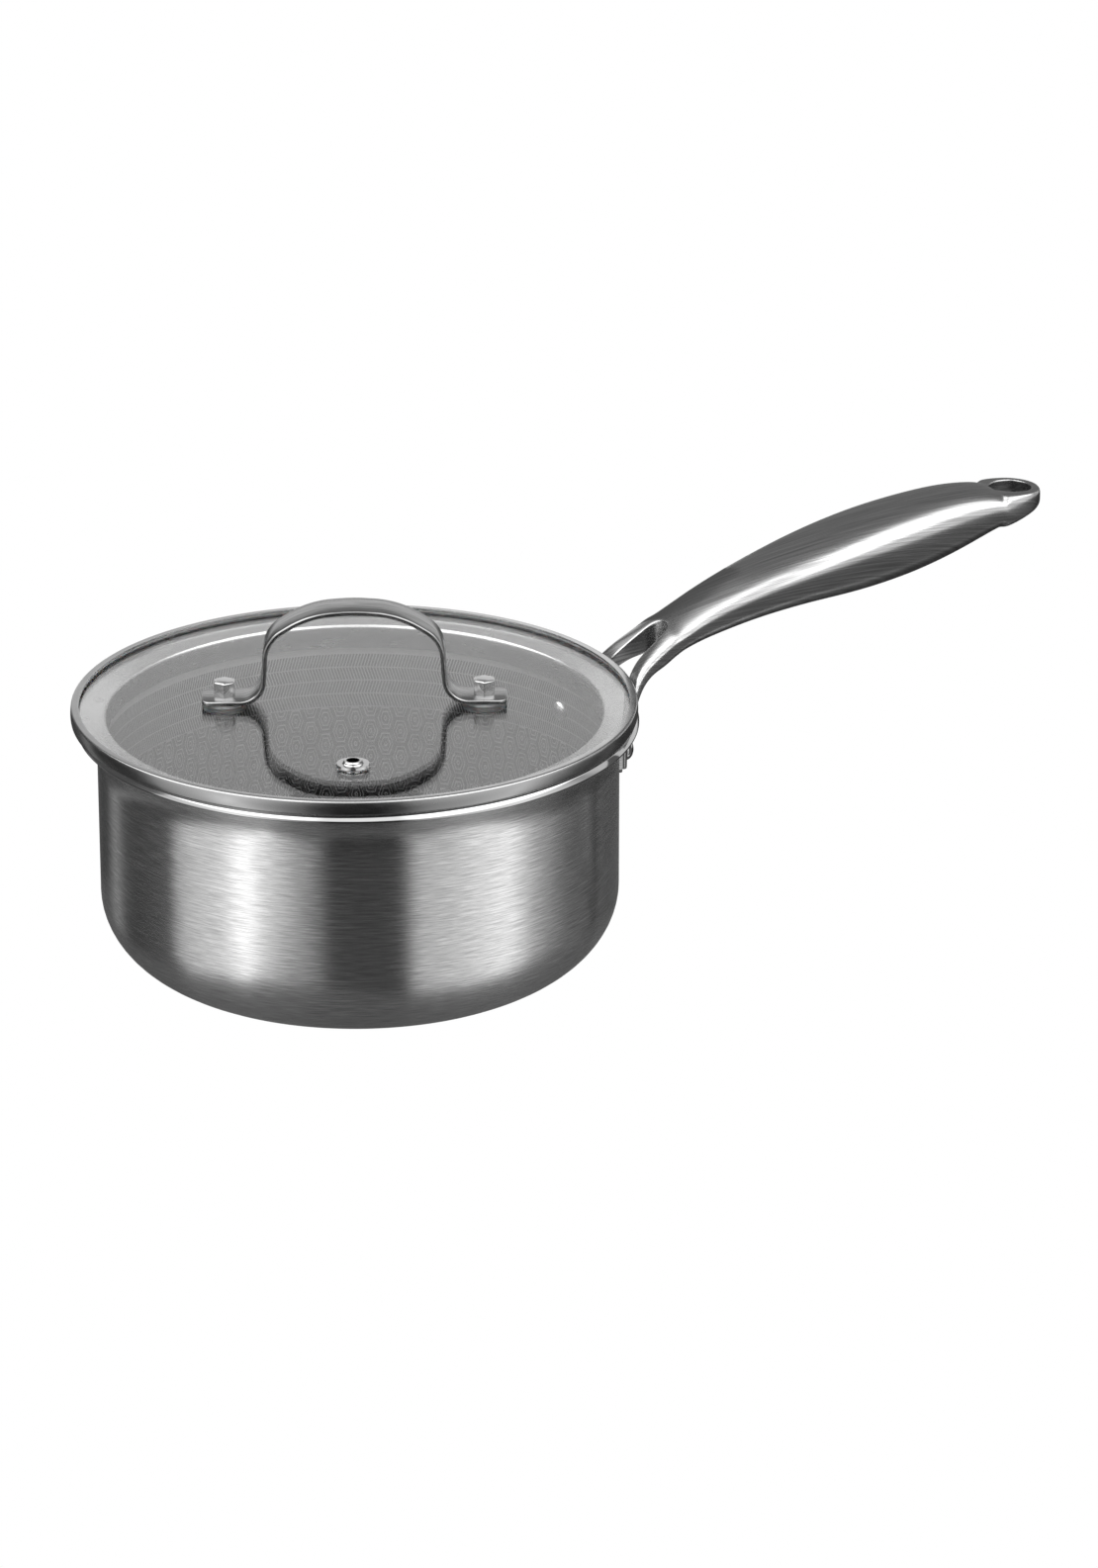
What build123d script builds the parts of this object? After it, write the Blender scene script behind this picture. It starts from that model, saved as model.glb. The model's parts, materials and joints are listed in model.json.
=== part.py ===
from build123d import *
import os
from math import asin, cos, degrees, radians, sin, sqrt

# Saucepan with a glass lid: three-ply body, forked hollow handle, riveted mount and a rimmed lid.
# Millimetres, +Z up. The origin is the centre of the base, on the surface it stands on.
# +X points along the handle towards its hanging eye.

os.makedirs("parts", exist_ok=True)

# --- Pan body: three bonded sheets, deep drawn, with a flared pouring rim ---
body_diameter = 180.0
pan_height = 90.5
outer_ply = 0.6
core_ply = 1.8
inner_ply = 0.6
corner_width = 34.0        # base corner, an ellipse quarter: how far in it reaches
corner_height = 28.5       # and how far up the wall
flare_radius = 15.0        # outer surface of the pouring rim
flare_angle = 58.0         # turn from the upright wall to the cut edge

# --- Handle mount ---
rivet_angle = 12.0         # each rivet, left and right of the handle
rivet_drop = 21.0          # rivets below the cut rim
rivet_shank_radius = 2.5
rivet_head_radius = 4.2
rivet_head_rise = 3.0
rivet_tail_radius = 4.0
rivet_tail_rise = 2.2
rivet_flat = 0.8           # small flat on top of each domed head
rivet_clearance = 0.05
plate_thickness = 2.0
plate_half_angle = 18.0
plate_height = 13.0
plate_corner = 4.0
pad_thickness = 2.5
seat_gap = 0.05            # between curved sheets that lie on each other

# --- Fork and grip ---
rim_to_prong = 1.0         # air between the pouring rim and the prongs
prong_fillet = 1.0
prong_inset = 0.8          # the prongs' outline stays inside the grip's sections
prong_blend = 4.5          # the grip's sections start this far before the slot's end
prong_overlap = 9.0        # and the prongs run on inside them this far
pad_half_width = 6.5
slot_half_width = 5.6
slot_setback = 14.5        # rounded end of the slot, back from the seam with the grip
fork_reach = 34.95         # from the pouring rim's edge to that seam
grip_length = 111.0
eye_length = 22.4          # from the grip's far seam to the tip
wall_of_grip = 1.4
widest_share = 0.6         # height of the grip's widest line, from its underside
seam_gap = 0.02            # between pieces welded or clamped together
spigot_length = 7.0        # tongues of the fork and the eye inside the hollow grip
spigot_gap = 0.35

# Sections of the fork, the grip and the eye: share of the way along each of them, half width,
# then the heights of the underside and the top over the pan's rim.
fork_sections = [
    (0.256, 14.4, -3.1, 7.9),
    (0.542, 13.0, 4.1, 14.7),
]
grip_sections = [
    (0.0, 13.3, 10.1, 23.7),
    (0.162, 15.2, 14.3, 31.1),
    (0.342, 17.2, 17.1, 37.9),
    (0.523, 18.0, 18.7, 43.5),
    (0.703, 17.0, 21.9, 47.3),
    (0.865, 14.8, 26.7, 49.3),
    (1.0, 13.0, 32.4, 48.3),
]
eye_sections = [
    (0.49, 12.3, 36.8, 46.9),
    (1.07, 12.3, 40.1, 46.1),
]
tip_radius = 11.4
eye_hole_radius = 5.5      # round end of the teardrop, towards the tip
eye_hole_point_radius = 1.8
eye_hole_length = 15.5
eye_rim = 4.4

# --- Lid: flat tempered disc in a rolled steel band ---
lid_shift = 1.2            # the loose lid lies off centre by this much
lid_shift_angle = 155.0
lid_turn = -23.8           # direction of the strap handle
seat_clearance = 0.1
band_overhang = 0.65       # band past the pouring rim's edge
band_height = 5.3
band_sheet = 0.6
band_lip = 3.0             # width of the lip over the glass
skirt_clearance = 1.2      # between the skirt and the pan's upright wall
skirt_depth = 9.2
flange_drop = 1.5
flange_width = 3.3         # flat seat, in from the band's edge to where it slopes to the skirt
band_fold = 1.0
glass_thickness = 3.2
glass_crown = 0.6
glass_edge_gap = 0.5

# --- Strap handle and its fixings ---
strap_width = 15.0
strap_sheet = 1.7
strap_corner = 3.0
arch_offset = 15.5         # half the flat crown, then each length on from it:
shoulder_width = 15.4      # to where the arch turns into the leg
leg_lean = 1.4             # to the knee, where the foot turns up
foot_to_bolt = 12.3
bolt_to_end = 7.8
crown_height = 39.8
arch_drop = 1.1            # from the crown
shoulder_drop = 10.7
knee_radius = 7.5          # on the upper side of the strip, as are the other bends
shoulder_radius = 13.0
arch_radius = 34.0
crown_radius = 60.0
screw_radius = 2.0
screw_clearance = 0.1
screw_head_radius = 4.0
screw_head_height = 2.4
glass_hole_radius = 2.8
gasket_radius = 7.4
gasket_thickness = 1.0
washer_radius = 6.0
washer_thickness = 0.8
nut_across_flats = 7.0
nut_height = 5.4
nut_top = 0.9

# --- Steam vent ---
vent_offset = 62.0
vent_bore = 2.25
vent_lip_radius = 3.35
vent_flange_radius = 5.8
vent_lip_rise = 1.7
vent_flange_sheet = 0.7
vent_tube_wall = 0.9
vent_gasket_sheet = 0.5
vent_hole_clearance = 0.2
vent_ring_radius = 5.4
vent_ring_sheet = 0.9

# --- Worked out from the values above ---
body_radius = body_diameter / 2
wall = outer_ply + core_ply + inner_ply
flare_start = pan_height - (flare_radius + wall) * sin(radians(flare_angle))
rim_radius = body_radius + flare_radius * (1 - cos(radians(flare_angle)))
rim_underside = flare_start + flare_radius * sin(radians(flare_angle))
rivet_height = pan_height - rivet_drop
plate_radius = body_radius + plate_thickness
pad_radius = plate_radius + pad_thickness
rivet_spread = plate_radius * sin(radians(rivet_angle))

fork_end = rim_radius + fork_reach
slot_end = fork_end - slot_setback
prong_start = slot_end - prong_blend
grip_end = fork_end + grip_length
tip_reach = grip_end + eye_length

band_radius = rim_radius + band_overhang
skirt_radius = body_radius - wall - skirt_clearance
flange_corner = band_radius - flange_width
lid_seat = pan_height + seat_clearance
lid_x = lid_shift * cos(radians(lid_shift_angle))
lid_y = lid_shift * sin(radians(lid_shift_angle))
strap_direction = Vector(cos(radians(lid_turn)), sin(radians(lid_turn)), 0)
lid_plane = Plane(origin=(lid_x, lid_y, lid_seat), x_dir=strap_direction, z_dir=(0, 0, 1))
lid_side = Plane(origin=lid_plane.origin, x_dir=strap_direction, z_dir=-lid_plane.y_dir)
lid_axis = Axis(lid_plane.origin, (0, 0, 1))

glass_radius = band_radius - band_sheet - glass_edge_gap
glass_bottom = band_sheet
glass_edge_top = glass_bottom + glass_thickness
crown_sphere = (glass_radius**2 + glass_crown**2) / (2 * glass_crown)

shoulder_offset = arch_offset + shoulder_width
knee_offset = shoulder_offset + leg_lean
bolt_offset = knee_offset + foot_to_bolt
strap_half_length = bolt_offset + bolt_to_end
arch_height = crown_height - arch_drop
shoulder_height = crown_height - shoulder_drop


def glass_rise(radius):
    """How much higher the crowned glass is at this radius than at its edge."""
    return sqrt(crown_sphere**2 - radius**2) - crown_sphere + glass_crown


strap_seat = glass_edge_top + glass_rise(bolt_offset - gasket_radius) + gasket_thickness
vent_tube_radius = vent_bore + vent_tube_wall
fixing_underside = glass_bottom + glass_rise(bolt_offset + gasket_radius)


def ply(name, start, end):
    """One sheet of the pan, between two depths measured in from the outside."""
    with BuildPart() as sheet:
        with BuildSketch(Plane.XZ):
            with BuildLine():
                for depth in (start, end):
                    flat = Line((0, depth), (body_radius - corner_width, depth))
                    corner = EllipticalCenterArc(
                        (body_radius - corner_width, corner_height),
                        corner_width - depth,
                        corner_height - depth,
                        start_angle=270,
                        arc_size=90,
                    )
                    side = Line(corner @ 1, (body_radius - depth, flare_start))
                    flare = CenterArc(
                        (body_radius + flare_radius, flare_start),
                        flare_radius + depth,
                        180,
                        -flare_angle,
                    )
                    if depth == start:
                        outside = (flat @ 0, flare @ 1)
                Line(outside[0], flat @ 0)
                Line(outside[1], flare @ 1)
            make_face()
        revolve(axis=Axis.Z)
        for side_sign in (-1, 1):
            with Locations(rivet_location(side_sign)):
                Cylinder(
                    rivet_shank_radius + rivet_clearance,
                    2 * corner_width,
                    mode=Mode.SUBTRACT,
                )
    finish(sheet, name)


def rivet_location(side_sign):
    """On the rivet's axis at the body's surface, with local Z pointing outwards."""
    outwards = Vector(1, 0, 0).rotate(Axis.Z, side_sign * rivet_angle)
    place = outwards * body_radius + Vector(0, 0, rivet_height)
    return Plane(origin=place, z_dir=outwards).location


def finish(builder, name):
    """Label a finished piece and write it."""
    builder.part.label = name
    export_step(builder.part, f"parts/{name}.step")


ply("pan_outer_ply", 0, outer_ply)
ply("pan_core_ply", outer_ply, outer_ply + core_ply)
ply("pan_inner_ply", outer_ply + core_ply, wall)

# --- Curved mounting plate under the handle's feet ---
with BuildPart() as mounting_plate:
    with BuildSketch(Plane.YZ.offset(body_radius / 2)):
        with Locations((0, rivet_height)):
            RectangleRounded(
                2 * plate_radius * sin(radians(plate_half_angle)), plate_height, plate_corner
            )
    extrude(amount=body_radius)
    with BuildSketch(Plane.XY.offset(rivet_height - plate_height)):
        Circle(plate_radius)
        Circle(body_radius + seat_gap, mode=Mode.SUBTRACT)
    extrude(amount=2 * plate_height, mode=Mode.INTERSECT)
    for side_sign in (-1, 1):
        with Locations(rivet_location(side_sign)):
            Cylinder(rivet_shank_radius + rivet_clearance, 2 * corner_width, mode=Mode.SUBTRACT)
finish(mounting_plate, "mounting_plate")


def half_outline(section, upper, inset):
    """Points of one half of a grip section, from the +Y side over the middle to the -Y side."""
    reach, half_width, low, high = section
    widest = low + widest_share * (high - low)
    rise = (high - widest if upper else widest - low) - inset
    exponent = 2 / (2.3 if upper else 2.7)
    points = []
    for step in range(9):
        angle = radians(180 * step / 8)
        across = (half_width - inset) * abs(cos(angle)) ** exponent
        if step > 4:
            across = -across
        up = rise * abs(sin(angle)) ** exponent
        points.append((across, widest + (up if upper else -up)))
    return points


def section_sketch(section, inset=0.0):
    """A whole closed grip section standing at its reach."""
    with BuildSketch(Plane.YZ.offset(section[0])) as outline:
        with BuildLine():
            Spline(half_outline(section, True, inset))
            Spline(half_outline(section, False, inset))
        make_face()
    return outline.sketch


def placed(listed, start, length):
    """Listed sections at their reach from the pan's axis and their height over its base."""
    return [
        (start + share * length, half_width, pan_height + low, pan_height + high)
        for share, half_width, low, high in listed
    ]


handle_sections = (
    placed(fork_sections, rim_radius, fork_reach)
    + placed(grip_sections, fork_end, grip_length)
    + placed(eye_sections, grip_end, eye_length)
)
handle_floor = handle_sections[0][2]    # lower than any part of the eye


def between(reach):
    """The handle's section at any reach, blended from its two listed neighbours."""
    for near, far in zip(handle_sections, handle_sections[1:]):
        if near[0] <= reach <= far[0]:
            share = (reach - near[0]) / (far[0] - near[0])
            return tuple(a + (b - a) * share for a, b in zip(near, far))
    return handle_sections[-1]


def stations(start, end):
    """Sections from one reach to another, with the listed ones in between."""
    inner = [section for section in handle_sections if start + 1 < section[0] < end - 1]
    return [between(start)] + inner + [between(end)]


# --- Fork: two riveted feet that rise round the pouring rim and join into the grip ---
foot_low = rivet_height - pad_half_width
foot_high = rivet_height + pad_half_width
foot_inside = rivet_spread - pad_half_width
foot_outside = rivet_spread + pad_half_width
inner_face = plate_radius + seat_gap
joint = between(prong_start)
prong_half_width = joint[1] - prong_inset / 4
bend = between(prong_start - prong_overlap / 4)
tail = between(prong_start + prong_overlap)

with BuildPart() as handle_fork:
    with BuildSketch(Plane.XZ) as side_profile:
        with BuildLine():
            outside = Spline(
                (pad_radius, foot_high - 2),
                (pad_radius + 2.8, foot_high + 2),
                (rim_radius + 5.15, pan_height - 7.5),
                (bend[0], bend[2] + prong_inset),
                (tail[0], tail[2] + prong_inset),
                tangents=[(0, 1), (0.9, 0.45)],
            )
            inside = Spline(
                (inner_face, foot_high),
                (inner_face + 1.85, foot_high + 4.2),
                (rim_radius + rim_to_prong - 0.4, rim_underside - 0.4),
                (rim_radius + 8.35, pan_height + 6.9),
                (tail[0], tail[3] - prong_inset),
                tangents=[(0, 1), (0.84, 0.54)],
            )
            Line(outside @ 1, inside @ 1)
            Line(inside @ 0, (inner_face, foot_low))
            Line((inner_face, foot_low), (pad_radius, foot_low))
            Line((pad_radius, foot_low), outside @ 0)
        make_face()
    revolve(axis=Axis.Z, revolution_arc=20)
    with BuildSketch(Plane.XZ):
        add(side_profile.sketch)
    revolve(axis=Axis.Z, revolution_arc=-20)
    with BuildSketch(Plane.XY.offset(foot_low - 1)):
        outer_spread = foot_outside - prong_half_width
        inner_spread = foot_inside - slot_half_width
        cut_start = pad_radius - 8
        cut_end = prong_start + prong_overlap - 2
        for side_sign in (-1, 1):
            with BuildLine():
                outline = Spline(
                    (pad_radius + 0.5, side_sign * foot_outside),
                    (rim_radius + 2.5, side_sign * (prong_half_width + 0.445 * outer_spread)),
                    (rim_radius + 7.95, side_sign * (prong_half_width + 0.15 * outer_spread)),
                    (prong_start, side_sign * prong_half_width),
                    tangents=[(0.2, -side_sign * 1), (1, -side_sign * 0.06)],
                )
                inline = Spline(
                    (pad_radius + 0.5, side_sign * foot_inside),
                    (rim_radius + 2, side_sign * (slot_half_width + 0.74 * inner_spread)),
                    (rim_radius + 7, side_sign * (slot_half_width + 0.285 * inner_spread)),
                    (slot_end - slot_half_width, side_sign * slot_half_width),
                    tangents=[(0.25, -side_sign * 1), (1, 0)],
                )
                slot = ThreePointArc(
                    inline @ 1,
                    (slot_end - slot_half_width * 0.2929, side_sign * slot_half_width * 0.7071),
                    (slot_end, 0),
                )
                Line(slot @ 1, (cut_end, 0))
                Line((cut_end, 0), (cut_end, side_sign * (prong_half_width - 0.3)))
                Line((cut_end, side_sign * (prong_half_width - 0.3)), outline @ 1)
                Line(outline @ 0, (cut_start, side_sign * foot_outside))
                Line((cut_start, side_sign * foot_outside), (cut_start, side_sign * foot_inside))
                Line((cut_start, side_sign * foot_inside), inline @ 0)
            make_face()
    extrude(amount=pan_height, mode=Mode.INTERSECT)
    long_edges = handle_fork.edges().sort_by(SortBy.LENGTH)[-6:]
    fillet(long_edges, prong_fillet)
    for section in stations(prong_start, fork_end):
        add(section_sketch(section))
    loft()
    with BuildSketch(Plane.XY.offset(foot_low)):
        with Locations((slot_end - slot_half_width, 0)):
            Circle(slot_half_width)
        with Locations((slot_end - 2 * slot_half_width, 0)):
            Rectangle(2 * slot_half_width, 2 * slot_half_width)
    extrude(amount=pan_height, mode=Mode.SUBTRACT)
    for section in stations(fork_end, fork_end + spigot_length):
        add(section_sketch(section, wall_of_grip + spigot_gap))
    loft()
    for side_sign in (-1, 1):
        with Locations(rivet_location(side_sign)):
            Cylinder(rivet_shank_radius + rivet_clearance, 2 * corner_width, mode=Mode.SUBTRACT)
finish(handle_fork, "handle_fork")

for upper in (True, False):
    name = "grip_upper_shell" if upper else "grip_lower_shell"
    with BuildPart() as shell:
        for section in stations(fork_end + seam_gap, grip_end - seam_gap):
            with BuildSketch(Plane.YZ.offset(section[0])):
                with BuildLine():
                    over = half_outline(section, upper, 0)
                    under = half_outline(section, upper, wall_of_grip)
                    lift = seam_gap / 2 if upper else -seam_gap / 2
                    over = [(across, up + lift) for across, up in over]
                    under = [(across, up + lift) for across, up in under]
                    Spline(over)
                    Spline(under)
                    Line(over[0], under[0])
                    Line(over[-1], under[-1])
                make_face()
        loft()
    finish(shell, name)

# --- Hanging eye: solid tip with a teardrop hole, tongued into the hollow grip ---
with BuildPart() as hanging_eye:
    for section in stations(grip_end, handle_sections[-1][0]):
        add(section_sketch(section))
    loft()
    with BuildSketch(Plane.XY.offset(handle_floor)):
        with Locations((tip_reach - tip_radius, 0)):
            Circle(tip_radius)
        with Locations((grip_end - tip_radius, 0)):
            Rectangle(2 * eye_length, 4 * tip_radius)
    extrude(amount=pan_height, mode=Mode.INTERSECT)
    with BuildSketch(Plane.XY.offset(handle_floor)):
        hole_end = tip_reach - eye_rim
        with Locations((hole_end - eye_hole_radius, 0)):
            Circle(eye_hole_radius)
        with Locations((hole_end - eye_hole_length + eye_hole_point_radius, 0)):
            Circle(eye_hole_point_radius)
        make_hull()
    extrude(amount=pan_height, mode=Mode.SUBTRACT)
    for section in stations(grip_end - spigot_length, grip_end):
        add(section_sketch(section, wall_of_grip + spigot_gap))
    loft()
finish(hanging_eye, "hanging_eye")

# --- Rivets: domed heads outside, set heads inside the pan ---
head_seat = pad_radius + seam_gap
tail_seat = body_radius - wall - seam_gap - rivet_tail_radius**2 / (2 * (body_radius - wall))
for side_sign, side_name in ((-1, "right"), (1, "left")):
    base = Plane(rivet_location(side_sign))
    with BuildPart() as rivet:
        with BuildSketch(Plane(origin=base.origin, x_dir=base.x_dir, z_dir=-base.y_dir)):
            with BuildLine():
                head_low = head_seat - body_radius
                tail_low = tail_seat - body_radius
                Line((0, tail_low - rivet_tail_rise), (0, head_low + rivet_head_rise))
                Line((0, head_low + rivet_head_rise), (rivet_flat, head_low + rivet_head_rise))
                ThreePointArc(
                    (rivet_flat, head_low + rivet_head_rise),
                    (rivet_head_radius * 0.74, head_low + rivet_head_rise * 0.72),
                    (rivet_head_radius, head_low),
                )
                Line((rivet_head_radius, head_low), (rivet_shank_radius, head_low))
                Line((rivet_shank_radius, head_low), (rivet_shank_radius, tail_low))
                Line((rivet_shank_radius, tail_low), (rivet_tail_radius, tail_low))
                ThreePointArc(
                    (rivet_tail_radius, tail_low),
                    (rivet_tail_radius * 0.74, tail_low - rivet_tail_rise * 0.72),
                    (rivet_flat, tail_low - rivet_tail_rise),
                )
                Line((rivet_flat, tail_low - rivet_tail_rise), (0, tail_low - rivet_tail_rise))
            make_face()
        revolve(axis=Axis(base.origin, base.z_dir))
    finish(rivet, f"rivet_{side_name}")


# --- Lid: every piece is drawn from the lid's own plane, whose origin is the seat ---
def lid_point(along, across):
    """A point of the seat plane, by its distances along and across the strap."""
    return lid_plane.from_local_coords(Vector(along, across, 0))


def turned(name, points, along=0.0, across=0.0):
    """A piece turned from a closed outline of radius and height, on an upright axis."""
    centre = lid_point(along, across)
    with BuildPart() as piece:
        with BuildSketch(Plane(origin=centre, x_dir=strap_direction, z_dir=-lid_plane.y_dir)):
            with BuildLine():
                Polyline(*points, close=True)
            make_face()
        revolve(axis=Axis(centre, (0, 0, 1)))
    finish(piece, name)


def ring(name, inner, outer, low, high, along=0.0, across=0.0):
    """A plain washer shape."""
    turned(name, [(inner, low), (outer, low), (outer, high), (inner, high)], along, across)


with BuildPart() as glass_disc:
    with BuildSketch(Plane(origin=lid_plane.origin, x_dir=lid_plane.y_dir, z_dir=strap_direction)):
        with BuildLine():
            opening = degrees(asin(glass_radius / crown_sphere))
            for height in (glass_bottom, glass_edge_top):
                centre = (0, height + glass_crown - crown_sphere)
                CenterArc(centre, crown_sphere, 90 - opening, opening)
            Line((0, glass_bottom + glass_crown), (0, glass_edge_top + glass_crown))
            Line((glass_radius, glass_bottom), (glass_radius, glass_edge_top))
        make_face()
    revolve(axis=lid_axis)
    for along in (-bolt_offset, bolt_offset):
        with Locations(lid_point(along, 0)):
            Cylinder(glass_hole_radius, 8 * glass_thickness, mode=Mode.SUBTRACT)
    with Locations(lid_point(0, -vent_offset)):
        Cylinder(vent_tube_radius + vent_hole_clearance, 8 * glass_thickness, mode=Mode.SUBTRACT)
finish(glass_disc, "glass_disc")

with BuildPart() as rim_band:
    with BuildSketch(lid_side):
        with BuildLine():
            FilletPolyline(
                (skirt_radius, -skirt_depth),
                (skirt_radius, -flange_drop),
                (flange_corner, 0),
                (band_radius, 0),
                (band_radius, band_height),
                (band_radius - band_lip, band_height),
                radius=band_fold,
            )
            offset(amount=band_sheet, side=Side.LEFT)
        make_face()
    revolve(axis=lid_axis)
finish(rim_band, "rim_band")

ring(
    "edge_gasket",
    band_radius - band_lip + 0.4,
    glass_radius - 0.2,
    glass_edge_top + glass_rise(band_radius - band_lip) + seam_gap,
    band_height - band_sheet - seam_gap,
)

# --- Strap handle, bent from one strip ---
with BuildPart() as strap_handle:
    with BuildSketch(lid_side):
        with BuildLine():
            over = strap_seat + strap_sheet
            right_side = [
                (strap_half_length, over),
                (knee_offset, over),
                (shoulder_offset, shoulder_height),
                (arch_offset, arch_height),
            ]
            left_side = [(-along, up) for along, up in right_side]
            FilletPolyline(
                *right_side,
                (0, crown_height),
                *reversed(left_side),
                radius=[
                    knee_radius, shoulder_radius, arch_radius, crown_radius,
                    arch_radius, shoulder_radius, knee_radius,
                ],
            )
            offset(amount=strap_sheet, side=Side.LEFT)
        make_face()
    extrude(amount=strap_width / 2, both=True)
    fillet(strap_handle.edges().filter_by(Axis.Z), strap_corner)
    for along in (-bolt_offset, bolt_offset):
        with Locations(lid_point(along, 0)):
            Cylinder(screw_radius + screw_clearance, 3 * over, mode=Mode.SUBTRACT)
finish(strap_handle, "strap_handle")

# --- Fixings: screw from below, washers and seals on both faces, cap nut on top ---
strap_top = strap_seat + strap_sheet
gasket_low = fixing_underside - seam_gap - gasket_thickness
washer_low = gasket_low - seam_gap - washer_thickness
screw_seat = washer_low - seam_gap
screw_end = strap_top + nut_height - nut_top
for side_name, along in (("left", -bolt_offset), ("right", bolt_offset)):
    hole = screw_radius + screw_clearance
    top_low = strap_seat - gasket_thickness + seam_gap
    ring(f"top_gasket_{side_name}", hole, gasket_radius, top_low, strap_seat - seam_gap, along)
    ring(f"bottom_gasket_{side_name}", hole, gasket_radius, gasket_low, fixing_underside - seam_gap, along)
    ring(f"washer_{side_name}", hole, washer_radius, washer_low, washer_low + washer_thickness, along)
    turned(
        f"lid_screw_{side_name}",
        [
            (0, screw_seat - screw_head_height),
            (screw_head_radius * 0.7, screw_seat - screw_head_height),
            (screw_head_radius, screw_seat - screw_head_height * 0.5),
            (screw_head_radius, screw_seat),
            (screw_radius, screw_seat),
            (screw_radius, screw_end),
            (0, screw_end),
        ],
        along,
    )
    with BuildPart() as cap_nut:
        nut_base = lid_point(along, 0) + Vector(0, 0, strap_top + seam_gap)
        with BuildSketch(Plane(origin=nut_base, x_dir=strap_direction, z_dir=(0, 0, 1))):
            RegularPolygon(nut_across_flats / 2, 6, major_radius=False, rotation=30)
        extrude(amount=nut_height)
        with BuildSketch(Plane(origin=nut_base, x_dir=strap_direction, z_dir=-lid_plane.y_dir)):
            with BuildLine():
                Polyline(
                    (0, 0),
                    (nut_across_flats, 0),
                    (nut_across_flats, nut_height - nut_across_flats * 0.3),
                    (nut_across_flats * 0.47, nut_height),
                    (0, nut_height),
                    close=True,
                )
            make_face()
        revolve(axis=Axis(nut_base, (0, 0, 1)), mode=Mode.INTERSECT)
        with Locations(nut_base):
            Cylinder(
                screw_radius + rivet_clearance,
                nut_height - nut_top + seam_gap,
                align=(Align.CENTER, Align.CENTER, Align.MIN),
                mode=Mode.SUBTRACT,
            )
    finish(cap_nut, f"cap_nut_{side_name}")

# --- Steam vent: eyelet through the glass, set over a ring below ---
vent_top = glass_edge_top + glass_rise(vent_offset - vent_flange_radius) + vent_gasket_sheet + seam_gap
vent_under = glass_bottom + glass_rise(vent_offset + vent_ring_radius) - seam_gap
flange_top = vent_top + vent_flange_sheet
tube_end = vent_under - vent_ring_sheet - seam_gap
turned(
    "vent_eyelet",
    [
        (vent_bore, tube_end - 0.5),
        (vent_tube_radius + 0.7, tube_end - 0.5),
        (vent_tube_radius + 0.7, tube_end),
        (vent_tube_radius, tube_end),
        (vent_tube_radius, vent_top),
        (vent_flange_radius, vent_top),
        (vent_flange_radius - 0.3, flange_top),
        (vent_lip_radius + 0.3, flange_top),
        (vent_lip_radius, flange_top + 0.3),
        (vent_lip_radius, vent_top + vent_lip_rise - 0.3),
        (vent_lip_radius - 0.4, vent_top + vent_lip_rise),
        (vent_bore, vent_top + vent_lip_rise),
    ],
    across=-vent_offset,
)
ring(
    "vent_gasket",
    vent_tube_radius + screw_clearance,
    vent_flange_radius - 0.2,
    vent_top - seam_gap - vent_gasket_sheet,
    vent_top - seam_gap,
    across=-vent_offset,
)
ring(
    "vent_back_ring",
    vent_tube_radius + rivet_clearance,
    vent_ring_radius,
    vent_under - vent_ring_sheet,
    vent_under,
    across=-vent_offset,
)
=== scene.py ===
import json
from math import cos, pi, radians, sin, sqrt, tan

import bmesh
import bpy
from mathutils import Matrix, Vector


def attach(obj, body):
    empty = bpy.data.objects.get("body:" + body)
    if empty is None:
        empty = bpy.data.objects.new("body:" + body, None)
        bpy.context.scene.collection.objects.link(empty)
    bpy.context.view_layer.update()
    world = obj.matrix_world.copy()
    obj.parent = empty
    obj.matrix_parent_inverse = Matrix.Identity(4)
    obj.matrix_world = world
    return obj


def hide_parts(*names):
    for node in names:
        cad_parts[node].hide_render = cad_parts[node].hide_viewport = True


mm = 0.001
wallRadius = 90.0          # the pan's wall outside, in millimetres
lidTwist = -23.8          # how far the loose lid lies turned, in degrees

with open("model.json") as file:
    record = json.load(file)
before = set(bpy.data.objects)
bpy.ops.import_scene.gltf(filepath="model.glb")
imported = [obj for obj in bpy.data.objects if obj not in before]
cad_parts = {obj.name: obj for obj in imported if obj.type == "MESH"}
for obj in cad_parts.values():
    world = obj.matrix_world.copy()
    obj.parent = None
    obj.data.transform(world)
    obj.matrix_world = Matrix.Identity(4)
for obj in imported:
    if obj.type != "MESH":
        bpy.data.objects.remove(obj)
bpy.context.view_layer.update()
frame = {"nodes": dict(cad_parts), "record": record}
nodes = frame["nodes"]
print("frame loaded:", len(nodes), "nodes")


# Nodes and colours

def linear(hexColour):
    values = []
    for k in (1, 3, 5):
        v = int(hexColour[k:k + 2], 16) / 255
        values.append(v / 12.92 if v <= 0.04045 else ((v + 0.055) / 1.055) ** 2.4)
    return (*values, 1.0)


def addNode(tree, kind, *ordered, named=None, output=0, **settings):
    # one node: its settings, then its inputs in order and by name, each a value or a socket to link
    node = tree.nodes.new("ShaderNode" + kind)
    for key, value in settings.items():
        setattr(node, key, value)
    for key, value in [*enumerate(ordered), *(named or {}).items()]:
        if isinstance(value, bpy.types.NodeSocket):
            tree.links.new(value, node.inputs[key])
        elif value is not None:
            node.inputs[key].default_value = value
    return node.outputs[output] if node.outputs else None


def newMaterial(name):
    material = bpy.data.materials.new(name)
    material.use_nodes = True
    material.node_tree.nodes.clear()
    return material, material.node_tree


def finishMaterial(tree, inputs):
    surface = addNode(tree, "BsdfPrincipled", named=inputs)
    addNode(tree, "OutputMaterial", surface)


# Meshes

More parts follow.
